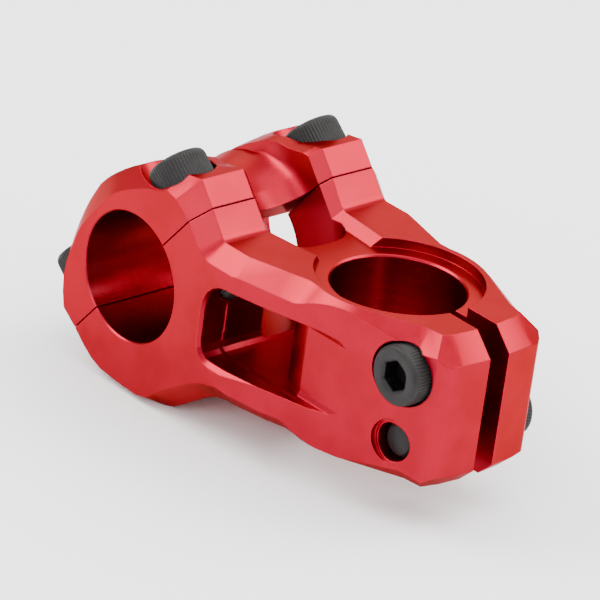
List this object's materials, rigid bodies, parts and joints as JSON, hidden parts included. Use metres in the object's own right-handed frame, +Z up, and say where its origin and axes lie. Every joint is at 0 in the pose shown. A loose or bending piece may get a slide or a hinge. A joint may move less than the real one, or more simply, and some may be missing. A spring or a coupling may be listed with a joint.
{
  "type": "handlebar stem",
  "caption": "Bicycle handlebar stem: forked alloy body clamped to the steerer by slot and pinch screws, with a bolted front cover that clamps the handlebar",
  "frame": {"origin": "on the steerer axis, level with the underside of the steerer clamp", "axes": "+X forward to the handlebar clamp, +Y to the rider's left, +Z up along the steerer"},
  "size_m": [0.1126, 0.053, 0.0569],
  "materials": {
    "red_anodised_body": "satin red anodised, machined",
    "red_anodised_cover": "satin red anodised, machined",
    "black_screw": "satin black oxide",
    "dark_washer": "dark zinc"
  },
  "bodies": {
    "stem": {"stem_body": "red_anodised_body"},
    "cover": {"front_cover": "red_anodised_cover"},
    "washer_upper_left": {"washer_upper_left": "dark_washer"},
    "screw_upper_left": {"cover_screw_upper_left": "black_screw"},
    "washer_upper_right": {"washer_upper_right": "dark_washer"},
    "screw_upper_right": {"cover_screw_upper_right": "black_screw"},
    "washer_lower_left": {"washer_lower_left": "dark_washer"},
    "screw_lower_left": {"cover_screw_lower_left": "black_screw"},
    "washer_lower_right": {"washer_lower_right": "dark_washer"},
    "screw_lower_right": {"cover_screw_lower_right": "black_screw"},
    "pinch_upper": {"pinch_screw_upper": "black_screw"},
    "pinch_lower": {"pinch_screw_lower": "black_screw"}
  },
  "joints": [
    {"name": "cover_off", "type": "slide", "parent": "stem", "child": "cover", "axis": [0.7771, 0, 0.6293], "range_m": [0, 0.045]},
    {"name": "upper_left_lift", "type": "slide", "parent": "cover", "child": "washer_upper_left", "axis": [0.7771, 0, 0.6293], "range_m": [0, 0.0225]},
    {"name": "upper_left_turn", "type": "hinge", "parent": "washer_upper_left", "child": "screw_upper_left", "pos_m": [0.04399, 0.0188, 0.03671], "axis": [0.7771, 0, 0.6293], "range_deg": [0, 6048]},
    {"name": "upper_right_lift", "type": "slide", "parent": "cover", "child": "washer_upper_right", "axis": [0.7771, 0, 0.6293], "range_m": [0, 0.0225]},
    {"name": "upper_right_turn", "type": "hinge", "parent": "washer_upper_right", "child": "screw_upper_right", "pos_m": [0.04399, -0.0188, 0.03671], "axis": [0.7771, 0, 0.6293], "range_deg": [0, 6048]},
    {"name": "lower_left_lift", "type": "slide", "parent": "cover", "child": "washer_lower_left", "axis": [0.7771, 0, 0.6293], "range_m": [0, 0.0175]},
    {"name": "lower_left_turn", "type": "hinge", "parent": "washer_lower_left", "child": "screw_lower_left", "pos_m": [0.07087, 0.0176, 0.00494], "axis": [0.7771, 0, 0.6293], "range_deg": [0, 4608]},
    {"name": "lower_right_lift", "type": "slide", "parent": "cover", "child": "washer_lower_right", "axis": [0.7771, 0, 0.6293], "range_m": [0, 0.0175]},
    {"name": "lower_right_turn", "type": "hinge", "parent": "washer_lower_right", "child": "screw_lower_right", "pos_m": [0.07087, -0.0176, 0.00494], "axis": [0.7771, 0, 0.6293], "range_deg": [0, 4608]},
    {"name": "pinch_upper_turn", "type": "hinge", "parent": "stem", "child": "pinch_upper", "pos_m": [-0.0198, 0, 0.024], "axis": [0, 1, 0], "range_deg": [0, 360]},
    {"name": "pinch_lower_turn", "type": "hinge", "parent": "stem", "child": "pinch_lower", "pos_m": [-0.0198, 0, 0.0084], "axis": [0, -1, 0], "range_deg": [0, 360]}
  ],
  "couplings": [
    {"joint": "upper_left_lift", "follows": "upper_left_turn", "m_per_rad": 0.00019894},
    {"joint": "upper_right_lift", "follows": "upper_right_turn", "m_per_rad": 0.00019894},
    {"joint": "lower_left_lift", "follows": "lower_left_turn", "m_per_rad": 0.00019894},
    {"joint": "lower_right_lift", "follows": "lower_right_turn", "m_per_rad": 0.00019894}
  ]
}
